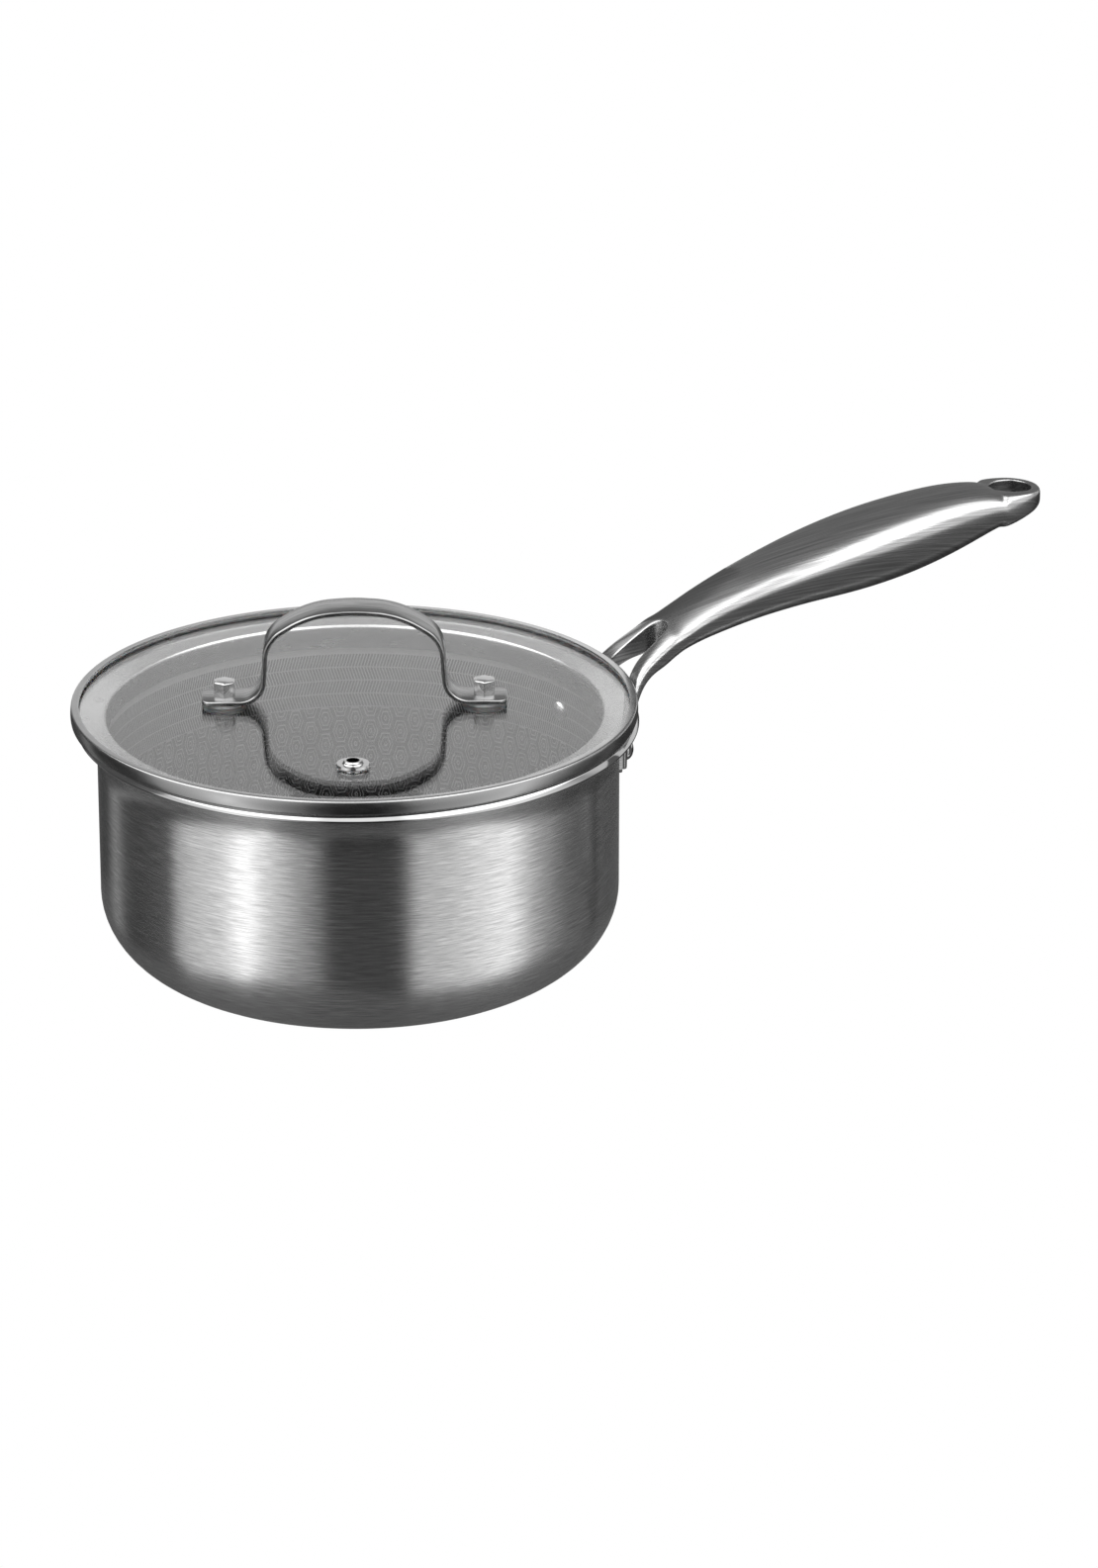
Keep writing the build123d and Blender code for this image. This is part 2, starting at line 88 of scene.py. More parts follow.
def meshObject(name, points, faces, body, material, crisp=(), sharpAngle=None):
    # points in millimetres; crisp edges keep their corner under subdivision
    mesh = bpy.data.meshes.new(name)
    mesh.from_pydata([Vector(p) * mm for p in points], [], faces)
    mesh.materials.append(material)
    obj = bpy.data.objects.new(name, mesh)
    bpy.context.scene.collection.objects.link(obj)
    bm = bmesh.new()
    bm.from_mesh(mesh)
    bm.verts.ensure_lookup_table()
    crease = bm.edges.layers.float.new("crease_edge")
    for a, b, amount in crisp:
        edge = bm.edges.get((bm.verts[a], bm.verts[b]))
        if edge:
            edge[crease] = amount
    bmesh.ops.remove_doubles(bm, verts=bm.verts, dist=1e-6)
    bmesh.ops.recalc_face_normals(bm, faces=bm.faces)
    bm.to_mesh(mesh)
    bm.free()
    mesh.shade_smooth()
    if sharpAngle:
        mesh.set_sharp_from_angle(angle=radians(sharpAngle))
    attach(obj, body)
    return obj


def filletPath(points, radii, steps=5, closed=False):
    # rounds each corner of a flat path with an arc of its own radius
    count = len(points)
    path = []
    for k, point in enumerate(points):
        p = Vector(point)
        radius = radii[k] if isinstance(radii, (list, tuple)) else radii
        if radius <= 0 or (not closed and k in (0, count - 1)):
            path.append(p)
            continue
        before = (Vector(points[k - 1]) - p).normalized()
        after = (Vector(points[(k + 1) % count]) - p).normalized()
        opening = before.angle(after)
        if pi - opening < 0.01:
            path.append(p)
            continue
        centre = p + (before + after).normalized() * (radius / sin(opening / 2))
        start = p + before * (radius / tan(opening / 2)) - centre
        side = 1 if before.x * after.y - before.y * after.x < 0 else -1
        for step in range(steps + 1):
            path.append(centre + Matrix.Rotation(side * (pi - opening) * step / steps, 2) @ start)
    return path


def offsetPath(path, amount):
    # the same open path moved sideways to its left
    moved = []
    for k, p in enumerate(path):
        way = (path[min(k + 1, len(path) - 1)] - path[max(k - 1, 0)]).normalized()
        moved.append(p + Vector((-way.y, way.x)) * amount)
    return moved


def ringFaces(rings, count):
    # sides between closed rings of points, and a face at each end
    faces = []
    for k in range(rings - 1):
        for n in range(count):
            t = (n + 1) % count
            faces.append((k * count + n, k * count + t, (k + 1) * count + t, (k + 1) * count + n))
    faces.append(tuple(range(count)))
    faces.append(tuple(range((rings - 1) * count, rings * count)))
    return faces


latheSharp = 50.0          # degrees between faces from which a turned piece keeps its edge


def turned(name, profile, body, material, origin=(0, 0, 0), axis=(0, 0, 1), segments=256):
    # a lathe piece from a closed outline of (radius, height)
    turn = Vector((0, 0, 1)).rotation_difference(Vector(axis)).to_matrix()
    points, faces = [], []
    count = len(profile)
    for s in range(segments):
        angle = 2 * pi * s / segments
        for radius, height in profile:
            p = Vector((radius * cos(angle), radius * sin(angle), height))
            points.append(Vector(origin) + turn @ p)
        for k in range(count):
            after = (s + 1) % segments * count
            faces.append((s * count + k, s * count + (k + 1) % count, after + (k + 1) % count, after + k))
    return meshObject(name, points, faces, body, material, sharpAngle=latheSharp)


# Materials: stainless steel in five finishes, aluminium, coating, silicone, glass

def objectPlace(tree, turn=0.0):
    # x, y and z in millimetres, the angle round the pan's axis and the distance from it
    place = addNode(tree, "TexCoord", output="Object")
    if turn:
        place = addNode(tree, "VectorRotate", place, named={"Angle": radians(turn)}, rotation_type="Z_AXIS")
    place = addNode(tree, "VectorMath", place, named={"Scale": 1 / mm}, operation="SCALE")
    x = addNode(tree, "SeparateXYZ", place)
    y, z = x.node.outputs[1], x.node.outputs[2]
    angle = addNode(tree, "Math", y, x, operation="ARCTAN2")
    flat = addNode(tree, "VectorMath", place, (1, 1, 0), operation="MULTIPLY")
    out = addNode(tree, "VectorMath", flat, operation="LENGTH", output="Value")
    return x, y, z, angle, out


def scratches(tree, along, across, length, width):
    # brushing marks as noise drawn out along the brushing, sizes in millimetres
    u = addNode(tree, "Math", along, length, operation="DIVIDE")
    v = addNode(tree, "Math", across, width, operation="DIVIDE")
    place = addNode(tree, "CombineXYZ", u, v)
    return addNode(tree, "TexNoise", place, named={"Scale": 1.0, "Detail": 2.0, "Roughness": 0.65},
                   noise_dimensions="2D")


def tintBetween(tree, amount, low, high, dark, light):
    # a colour from dark to light as the amount goes from low to high
    share = addNode(tree, "MapRange", amount, low, high)
    colours = {6: linear(dark), 7: linear(light)}          # the colour sockets, which share their names
    return addNode(tree, "Mix", share, named=colours, data_type="RGBA", output=2)


# stainless steel, belt brushed round the wall: light is smeared upright over fine level scratches,
# drawn about twice as coarse as they are so that they show
wallBrush = {
    "length": 9.0, "width": 0.4, "longLength": 50.0, "longWidth": 0.6, "longFrom": (0.6, 0.75),
    "longStrength": 0.25, "bump": 0.12, "depth": 0.01, "contrast": (0.3, 0.8), "dark": "#bcbcbc",
    "light": "#ececec", "roughness": 0.24, "anisotropy": 1.0,
}
brushedWall, tree = newMaterial("stainlessBrushedRoundWall")
x, y, z, angle, out = objectPlace(tree)
around = addNode(tree, "Math", angle, wallRadius, operation="MULTIPLY")
upwards = addNode(tree, "Math", z, out, operation="ADD")
fine = scratches(tree, around, upwards, wallBrush["length"], wallBrush["width"])
long = scratches(tree, around, upwards, wallBrush["longLength"], wallBrush["longWidth"])
long = addNode(tree, "MapRange", long, *wallBrush["longFrom"], 0.0, wallBrush["longStrength"])
both = addNode(tree, "Math", fine, long, operation="ADD")
bump = addNode(tree, "Bump", wallBrush["bump"], wallBrush["depth"] * mm, named={"Height": both})
level = addNode(tree, "Tangent", direction_type="RADIAL", axis="Z")
tint = tintBetween(tree, both, *wallBrush["contrast"], wallBrush["dark"], wallBrush["light"])
finishMaterial(tree, {
    "Base Color": tint,
    "Metallic": 1.0, "Roughness": wallBrush["roughness"], "Anisotropic": wallBrush["anisotropy"],
    "Anisotropic Rotation": 0.25,          # a quarter turn, from along the scratches to across them
    "Tangent": level, "Normal": bump,
})

# stainless steel, brushed lengthwise on the handle: duller than the wall, with longer scratches
handleBrush = {
    "length": 30.0, "width": 0.5, "bump": 0.12, "depth": 0.01, "contrast": (0.3, 0.7),
    "dark": "#9c9c9c", "light": "#c8c8c8", "roughness": 0.25, "anisotropy": 0.4,
}
brushedHandle, tree = newMaterial("stainlessBrushedHandle")
x, y, z, angle, out = objectPlace(tree)
girth = addNode(tree, "Math", y, z, operation="ADD")
fine = scratches(tree, x, girth, handleBrush["length"], handleBrush["width"])
bump = addNode(tree, "Bump", handleBrush["bump"], handleBrush["depth"] * mm, named={"Height": fine})
girthwise = addNode(tree, "Tangent", direction_type="RADIAL", axis="X")
tint = tintBetween(tree, fine, *handleBrush["contrast"], handleBrush["dark"], handleBrush["light"])
finishMaterial(tree, {
    "Base Color": tint,
    "Metallic": 1.0, "Roughness": handleBrush["roughness"], "Anisotropic": handleBrush["anisotropy"],
    "Tangent": girthwise, "Normal": bump,
})

# stainless strip, satin finished along its length: soft grey reflections
strapBrush = {
    "length": 14.0, "width": 0.6, "bump": 0.2, "depth": 0.02, "contrast": (0.3, 0.7),
    "dark": "#7c7c7c", "light": "#a6a6a6", "roughness": 0.24,
}
satinStrap, tree = newMaterial("stainlessSatinStrip")
x, y, z, angle, out = objectPlace(tree, -lidTwist)
fine = scratches(tree, x, y, strapBrush["length"], strapBrush["width"])
bump = addNode(tree, "Bump", strapBrush["bump"], strapBrush["depth"] * mm, named={"Height": fine})
tint = tintBetween(tree, fine, *strapBrush["contrast"], strapBrush["dark"], strapBrush["light"])
finishMaterial(tree, {
    "Base Color": tint,
    "Metallic": 1.0, "Roughness": strapBrush["roughness"], "Normal": bump,
})

# stainless steel, buffed: clear reflections under a faint haze of uneven buffing
buffing = {
    "patchLong": 12.0, "patchWide": 3.0, "contrast": (0.3, 0.7), "polished": (0.06, 0.13),
    "band": (0.2, 0.28), "bandShadeRadii": (95.0, 96.4), "sheet": (0.28, 0.36),
}


def buffedSteel(name, hexColour, roughness, shadedFaceColour=None):
    material, tree = newMaterial(name)
    x, y, z, angle, out = objectPlace(tree)
    around = addNode(tree, "Math", angle, wallRadius, operation="MULTIPLY")
    haze = scratches(tree, around, z, buffing["patchLong"], buffing["patchWide"])
    haze = addNode(tree, "MapRange", haze, *buffing["contrast"], *roughness)
    colour = linear(hexColour)
    # a second colour paints light and shade: the given colour inside the radii, the darker shaded face
    # colour outside them
    if shadedFaceColour:
        colour = tintBetween(tree, out, *buffing["bandShadeRadii"], hexColour, shadedFaceColour)
    finishMaterial(tree, {"Base Color": colour, "Metallic": 1.0, "Roughness": haze})
    return material


polishedSteel = buffedSteel("stainlessPolished", "#c2c2c2", buffing["polished"])
# the same steel on the lid's band, two-tone as painted light: a painted highlight where the glass covers
# it, painted shade in a greyer colour on the outside
bandPaintedLightAndShade = buffedSteel("stainlessBandPaintedLightAndShade", "#d4d4d4", buffing["band"], "#a6a6a6")

# aluminium, the core sheet between the steels: whiter and softer than steel
coreMetal = buffedSteel("aluminiumSheet", "#d6d7d8", buffing["sheet"])

# non-stick coating, sprayed black and semi-matt, between raised bare steel lines rolled into the wall:
# a honeycomb of three nested outlines, and a herringbone border under the rim
relief = {
    "columnStep": 5.4, "rowStep": 9.8, "halfHigh": 4.5, "halfWide": 3.0, "topHalf": 1.5, "lineHalf": 0.16,
    "outlines": (0.88, 0.55, 0.16), "borderLow": 58.2, "borderHigh": 78.2, "borderRow": 5.0,
    "rowLine": 0.35, "strokeStep": 1.1, "strokeHalf": 0.2, "strokeLean": 0.32,
    "bump": 0.1, "depth": 0.05,
    # radii of the wall's inside and of the base, and the pattern's way along per millimetre between them
    "insideRadius": 87.0, "baseRadius": 57.0, "cornerClimb": 0.75,
    "coating": "#0c0c0c", "line": "#b4b4b4", "coatingRough": 0.35, "lineRough": 0.6,
}


def hexagonDistance(tree, across, along, shift):
    # 0 in the middle of the nearest cell of one of the two staggered sets, 1 at its border
    step, row = relief["columnStep"], relief["rowStep"]
    u = addNode(tree, "Math", across, shift * step, operation="ADD")
    u = addNode(tree, "Math", u, 2 * step, operation="FLOORED_MODULO")
    u = addNode(tree, "Math", u, step, operation="SUBTRACT")
    u = addNode(tree, "Math", u, operation="ABSOLUTE")
    v = addNode(tree, "Math", along, shift * row / 2, operation="ADD")
    v = addNode(tree, "Math", v, row, operation="FLOORED_MODULO")
    v = addNode(tree, "Math", v, row / 2, operation="SUBTRACT")
    v = addNode(tree, "Math", v, operation="ABSOLUTE")
    slope = (relief["halfWide"] - relief["topHalf"]) / relief["halfHigh"]
    side = addNode(tree, "Math", v, slope, u, operation="MULTIPLY_ADD")
    side = addNode(tree, "Math", side, relief["halfWide"], operation="DIVIDE")
    top = addNode(tree, "Math", v, relief["halfHigh"], operation="DIVIDE")
    return addNode(tree, "Math", top, side, operation="MAXIMUM")


innerWall, tree = newMaterial("nonStickBetweenSteelLines")
x, y, z, angle, out = objectPlace(tree)
wallAround = addNode(tree, "Math", angle, relief["insideRadius"], operation="MULTIPLY")
onBase = addNode(tree, "Math", out, relief["baseRadius"], operation="LESS_THAN")
across = addNode(tree, "Mix", onBase, None, wallAround, x)
cornerStart = -relief["cornerClimb"] * relief["insideRadius"]
cornerDrop = addNode(tree, "Math", out, relief["cornerClimb"], cornerStart, operation="MULTIPLY_ADD")
along = addNode(tree, "Math", z, cornerDrop, operation="ADD")
along = addNode(tree, "Mix", onBase, None, along, y)
near = hexagonDistance(tree, across, along, 0)
cell = addNode(tree, "Math", near, hexagonDistance(tree, across, along, 1), operation="MINIMUM")
honeycomb = 0.0
lineShare = relief["lineHalf"] / relief["halfWide"]
for outline in relief["outlines"]:
    ring = addNode(tree, "Math", cell, outline, lineShare, operation="COMPARE")
    honeycomb = addNode(tree, "Math", ring, honeycomb, operation="MAXIMUM")
inRows = addNode(tree, "Math", z, relief["borderLow"], operation="SUBTRACT")
twoRows = addNode(tree, "Math", inRows, 2 * relief["borderRow"], operation="FLOORED_MODULO")
lean = addNode(tree, "Math", twoRows, relief["borderRow"], operation="SUBTRACT")
lean = addNode(tree, "Math", lean, operation="ABSOLUTE")
stroke = addNode(tree, "Math", lean, relief["strokeLean"], wallAround, operation="MULTIPLY_ADD")
stroke = addNode(tree, "Math", stroke, relief["strokeStep"], operation="FLOORED_MODULO")
stroke = addNode(tree, "Math", stroke, 0.5, relief["strokeHalf"], operation="COMPARE")
oneRow = addNode(tree, "Math", inRows, relief["borderRow"], operation="FLOORED_MODULO")
rowLine = addNode(tree, "Math", oneRow, relief["rowLine"], operation="LESS_THAN")
herringbone = addNode(tree, "Math", stroke, rowLine, operation="MAXIMUM")
aboveCells = addNode(tree, "Math", z, relief["borderLow"], operation="GREATER_THAN")
lines = addNode(tree, "Mix", aboveCells, None, honeycomb, herringbone)
aboveBorder = addNode(tree, "Math", z, relief["borderHigh"], operation="GREATER_THAN")
bare = addNode(tree, "Math", lines, aboveBorder, operation="MAXIMUM")
bump = addNode(tree, "Bump", relief["bump"], relief["depth"] * mm, named={"Height": bare})
roughness = addNode(tree, "MapRange", bare, 0.0, 1.0, relief["coatingRough"], relief["lineRough"])
finishMaterial(tree, {
    "Base Color": tintBetween(tree, bare, 0.0, 1.0, relief["coating"], relief["line"]),
    "Metallic": bare, "Roughness": roughness, "Normal": bump,
})

# silicone rubber, moulded: translucent grey seals
seal = {"mottle": 2.0, "contrast": (0.3, 0.7), "dark": "#8f8f8f", "light": "#a4a4a4"}
sealRubber, tree = newMaterial("siliconeSeal")
x, y, z, angle, out = objectPlace(tree)
mottle = scratches(tree, x, y, seal["mottle"], seal["mottle"])
finishMaterial(tree, {
    "Base Color": tintBetween(tree, mottle, *seal["contrast"], seal["dark"], seal["light"]),
    "Roughness": 0.5, "Subsurface Weight": 0.2, "Subsurface Scale": 1 * mm,
})

# soda-lime glass, tempered and fire polished: clear, the room shows in its face
lidGlass, tree = newMaterial("temperedGlass")
finishMaterial(tree, {"Base Color": linear("#ffffff"), "Roughness": 0.0, "IOR": 1.5,
                      "Transmission Weight": 1.0})

slots = {"brushed_wall": brushedWall, "core_metal": coreMetal, "relief_wall": innerWall,
         "brushed_handle": brushedHandle, "polished_steel": polishedSteel, "lid_glass": lidGlass,
         "seal_rubber": sealRubber}
for part in frame["record"]["subparts"]:
    obj = nodes[part["node"]]
    obj.data.materials.clear()
    obj.data.materials.append(slots[part["material_slot"]])
    obj.data.shade_smooth()
    obj.data.set_sharp_from_angle(angle=radians(35))
print("materials ready:", len(bpy.data.materials))

# Pan: three sheets and a ground lip

pan = {
    "height": 90.5, "outerPly": 0.6, "corePly": 1.8, "innerPly": 0.6,
    "cornerWide": 34.0, "cornerHigh": 28.5, "flareRadius": 15.0, "flareAngle": 58.0,
    "lipAngle": 3.4, "lipRound": 0.75,
    # mesh rings: distances over the base, degrees in its corner, heights up the wall, steps in the flare
    "baseRings": (0, 12, 28, 42, 52), "cornerStep": 5, "wallRings": (34, 42, 50, 58, 66, 72),
    "flareSteps": 16, "segments": 320,
}
wall = pan["outerPly"] + pan["corePly"] + pan["innerPly"]
flareStart = pan["height"] - (pan["flareRadius"] + wall) * sin(radians(pan["flareAngle"]))
lipFoot = pan["flareAngle"] - pan["lipAngle"]


def flarePoint(depth, angle):
    bend = pan["flareRadius"] + depth
    centre = wallRadius + pan["flareRadius"]
    return (centre - bend * cos(radians(angle)), flareStart + bend * sin(radians(angle)))


def sheetLine(depth):
    # the pan's section at one depth into the wall, from the middle of the base to just short of the lip
    line = [(r, depth) for r in pan["baseRings"]]
    wide, high = pan["cornerWide"] - depth, pan["cornerHigh"] - depth
    centre = wallRadius - pan["cornerWide"]
    line += [(centre + wide * sin(radians(a)), pan["cornerHigh"] - high * cos(radians(a)))
             for a in range(0, 91, pan["cornerStep"])]
    line += [(wallRadius - depth, h) for h in pan["wallRings"]]
    line += [flarePoint(depth, lipFoot * k / pan["flareSteps"]) for k in range(pan["flareSteps"] + 1)]
    return line


def ply(name, start, end, material, node):
    section = sheetLine(start) + sheetLine(end)[::-1]
    piece = turned(name, section, "pan", material, segments=pan["segments"])
    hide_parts(node)


coreDepth = pan["outerPly"] + pan["corePly"]
ply("wallSheetOutside", 0, pan["outerPly"], brushedWall, "pan_outer_ply")
ply("wallSheetCore", pan["outerPly"], coreDepth, coreMetal, "pan_core_ply")
ply("wallSheetInside", coreDepth, wall, innerWall, "pan_inner_ply")
lipCorners = [flarePoint(0, lipFoot), flarePoint(0, pan["flareAngle"]),
              flarePoint(wall, pan["flareAngle"]), flarePoint(wall, lipFoot)]
lipLine = filletPath(lipCorners, [0, pan["lipRound"], pan["lipRound"], 0], steps=4, closed=True)
turned("panLip", lipLine, "pan", polishedSteel, segments=pan["segments"])
print("pan built")

# Lid: rolled band and crowned glass

lid = {
    "shift": 1.2, "shiftAngle": 155.0, "seat": 90.6,
    "bandRadius": 97.7, "bandHigh": 5.3, "bulge": 0.35, "sheet": 0.6, "lip": 3.0, "skirtRadius": 85.8,
    "skirtDeep": 9.2, "drop": 1.5, "corner": 94.4, "glassThick": 3.2, "crown": 0.6, "edgeGap": 0.5,
    "edgeRound": 0.7, "folds": [0, 1.0, 1.0, 1.0, 9.0, 0.9, 0], "bulgeAt": 0.38,
    "glassRings": (0, 10, 20, 30, 40, 50, 60, 70, 80, 88, 94), "glassEdge": 94.5, "segments": 320,
}
sideways = radians(lid["shiftAngle"])
lidCentre = Vector((lid["shift"] * cos(sideways), lid["shift"] * sin(sideways), lid["seat"]))
lidTurn = Matrix.Rotation(radians(lidTwist), 3, "Z")


def lidPoint(along, across, up):
    return lidCentre + lidTurn @ Vector((along, across, up))


section = [(lid["skirtRadius"], -lid["skirtDeep"]), (lid["skirtRadius"], -lid["drop"]), (lid["corner"], 0),
           (lid["bandRadius"] - lid["bulge"], 0), (lid["bandRadius"], lid["bandHigh"] * lid["bulgeAt"]),
           (lid["bandRadius"] - lid["bulge"], lid["bandHigh"]),
           (lid["bandRadius"] - lid["lip"], lid["bandHigh"])]
outside = filletPath(section, lid["folds"], steps=6)
bandLine = outside + offsetPath(outside, lid["sheet"])[::-1]
band = turned("lidBand", bandLine, "lid", bandPaintedLightAndShade, origin=lidCentre,
              segments=lid["segments"])
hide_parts("rim_band")

glassRadius = lid["bandRadius"] - lid["sheet"] - lid["edgeGap"]
glassLow, glassHigh = lid["sheet"], lid["sheet"] + lid["glassThick"]


def glassRise(radius):
    return lid["crown"] * (1 - (radius / glassRadius) ** 2)


upper = [(r, glassHigh + glassRise(r)) for r in lid["glassRings"]]
lower = [(r, glassLow + glassRise(r)) for r in lid["glassRings"]]
edge = [(lid["glassEdge"], glassHigh), (glassRadius, glassHigh), (glassRadius, glassLow),
        (lid["glassEdge"], glassLow)]
edge = filletPath(edge, lid["edgeRound"], steps=4)
glass = turned("lidGlass", upper + edge + lower[::-1], "lid", lidGlass, origin=lidCentre)
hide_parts("glass_disc")

# distances from the lid's middle, radii, and the drill's middle and length
lidHoles = {"screws": 44.6, "screwHole": 2.8, "vent": 62.0, "ventHole": 3.35, "drillAt": 2.0,
            "drillLong": 20.0}


def drill(piece, holes):
    # holes straight down through a piece: place along and across the lid, and radius of each
    for along, across, radius in holes:
        middle = Matrix.Translation(lidPoint(along, across, lidHoles["drillAt"]) * mm)
        bit = bmesh.new()
        bmesh.ops.create_cone(bit, cap_ends=True, segments=64, radius1=radius * mm, radius2=radius * mm,
                              depth=lidHoles["drillLong"] * mm, matrix=middle)
        bitMesh = bpy.data.meshes.new("drillBit")
        bit.to_mesh(bitMesh)
        bit.free()
        bitObject = bpy.data.objects.new("drillBit", bitMesh)
        bpy.context.scene.collection.objects.link(bitObject)
        cut = piece.modifiers.new("cut", "BOOLEAN")
        cut.operation, cut.solver, cut.object = "DIFFERENCE", "EXACT", bitObject
        worked = piece.evaluated_get(bpy.context.evaluated_depsgraph_get())
        drilled = bpy.data.meshes.new_from_object(worked)
        piece.modifiers.clear()
        piece.data = drilled
        bpy.data.objects.remove(bitObject)
    piece.data.set_sharp_from_angle(angle=radians(latheSharp))


drill(glass, [(-lidHoles["screws"], 0, lidHoles["screwHole"]),
              (lidHoles["screws"], 0, lidHoles["screwHole"]),
              (0, -lidHoles["vent"], lidHoles["ventHole"])])
print("lid built")

# Strap handle, bent from one strip

strap = {
    "width": 15.0, "sheet": 1.7, "halfLength": 52.4, "endRound": 3.0, "bolt": lidHoles["screws"],
    "gasket": 1.0, "gasketRadius": 7.4, "knee": 32.3, "shoulder": (30.9, 29.1), "arch": (15.5, 38.7),
    "crown": 39.8, "radii": (7.5, 13.0, 34.0, 60.0), "edgeRound": 0.6, "edgeMiddle": 0.3,
    "endRings": (0, 0.03, 0.12, 0.3, 0.55, 0.8),          # shares of the end's rounding
}
strapSeat = glassHigh + glassRise(strap["bolt"] - strap["gasketRadius"]) + strap["gasket"]
strapTop = strapSeat + strap["sheet"]
rightSide = [(strap["halfLength"], strapTop), (strap["knee"], strapTop), strap["shoulder"], strap["arch"]]
leftSide = [(-along, up) for along, up in rightSide[::-1]]
kneeRadius, shoulderRadius, archRadius, crownRadius = strap["radii"]
bends = [0, kneeRadius, shoulderRadius, archRadius, crownRadius, archRadius, shoulderRadius, kneeRadius, 0]
bent = filletPath(rightSide + [(0, strap["crown"])] + leftSide, bends, steps=12)
roundEnd = [Vector((strap["halfLength"] - strap["endRound"] * t, strapTop)) for t in strap["endRings"]]
topLine = roundEnd + bent[1:-1] + [Vector((-p.x, p.y)) for p in roundEnd[::-1]]
bottomLine = offsetPath(topLine, strap["sheet"])
points = []
for a, b in zip(topLine, bottomLine):
    half = strap["width"] / 2
    intoEnd = abs(a.x) - (strap["halfLength"] - strap["endRound"])
    if intoEnd > 0:
        half -= strap["endRound"] - sqrt(max(strap["endRound"] ** 2 - intoEnd ** 2, 0))
    normal = (a - b).normalized()
    thick = (a - b).length
    r = strap["edgeRound"]
    corner = [(half - r, 0), (half - strap["edgeMiddle"] * r, strap["edgeMiddle"] * r), (half, r)]
    rightHalf = [(0, 0)] + corner + [(across, thick - down) for across, down in corner[::-1]]
    outline = rightHalf + [(0, thick)] + [(-across, down) for across, down in rightHalf[:0:-1]]
    for across, down in outline:
        p = a - normal * down
        points.append(lidPoint(p.x, across, p.y))
strapPiece = meshObject("strapHandle", points, ringFaces(len(topLine), len(outline)), "lid",
                        satinStrap, sharpAngle=60)
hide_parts("strap_handle")

# Cap nuts: hexagons with a flat face and chamfered corners

nut = {
    "acrossFlats": 7.0, "high": 5.4, "cornerRound": 0.25, "chamfer": 30.0, "topRadius": 3.3, "air": 0.02,
    "coneRings": (0, 0.25, 0.5, 0.75, 0.9),          # shares of the chamfer
    "topRings": ((0.05, 0.1), (0, 0.3)),          # the eased edge of the face: below the top, inwards
}
corner = nut["acrossFlats"] / 2 / cos(pi / 6)
corners = [(corner * cos(pi / 3 * k + pi / 6), corner * sin(pi / 3 * k + pi / 6)) for k in range(6)]
hexagon = filletPath(corners, nut["cornerRound"], steps=3, closed=True)
# rings from the seat up: how high, and the turned radius that cuts the hexagon back
coneWide = corner - nut["topRadius"]
coneHigh = coneWide * tan(radians(nut["chamfer"]))
levels = [(0, 2 * corner)]          # uncut at the seat
levels += [(nut["high"] - coneHigh * (1 - t), corner - coneWide * t) for t in nut["coneRings"]]
levels += [(nut["high"] - down, nut["topRadius"] - inwards) for down, inwards in nut["topRings"]]
for name, along in (("Left", -strap["bolt"]), ("Right", strap["bolt"])):
    points = []
    for up, limit in levels:
        for p in hexagon:
            share = min(1, limit / p.length)
            points.append(lidPoint(along + p.x * share, p.y * share, strapTop + nut["air"] + up))
    cap = meshObject("capNut" + name, points, ringFaces(len(levels), len(hexagon)), "lid",
                     polishedSteel, sharpAngle=20)
    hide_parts("cap_nut_" + name.lower())
print("strap and nuts built")

# Rivets: domed heads outside, set heads inside

rivet = {"angle": 12.0, "high": 69.5, "shank": 2.5, "head": 4.2, "rise": 3.0, "tail": 4.0, "tailRise": 2.2,
         "seat": 94.52, "tailSeat": 86.88}
for name, side in (("Left", 1), ("Right", -1)):
    way = Vector((cos(radians(rivet["angle"])), side * sin(radians(rivet["angle"])), 0))
    tail = [(rivet["tail"] * cos(radians(a)), rivet["tailSeat"] - rivet["tailRise"] * sin(radians(a)))
            for a in range(90, -1, -9)]
    head = [(rivet["head"] * cos(radians(a)), rivet["seat"] + rivet["rise"] * sin(radians(a)))
            for a in range(0, 91, 9)]
    shank = [(rivet["shank"], rivet["tailSeat"]), (rivet["shank"], rivet["seat"])]
    piece = turned("rivet" + name, tail + shank + head, "pan", polishedSteel,
                   origin=(0, 0, rivet["high"]), axis=way, segments=64)
    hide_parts("rivet_" + name.lower())
print("rivets built")

# Handle: fork, hollow grip and eye under one smooth skin

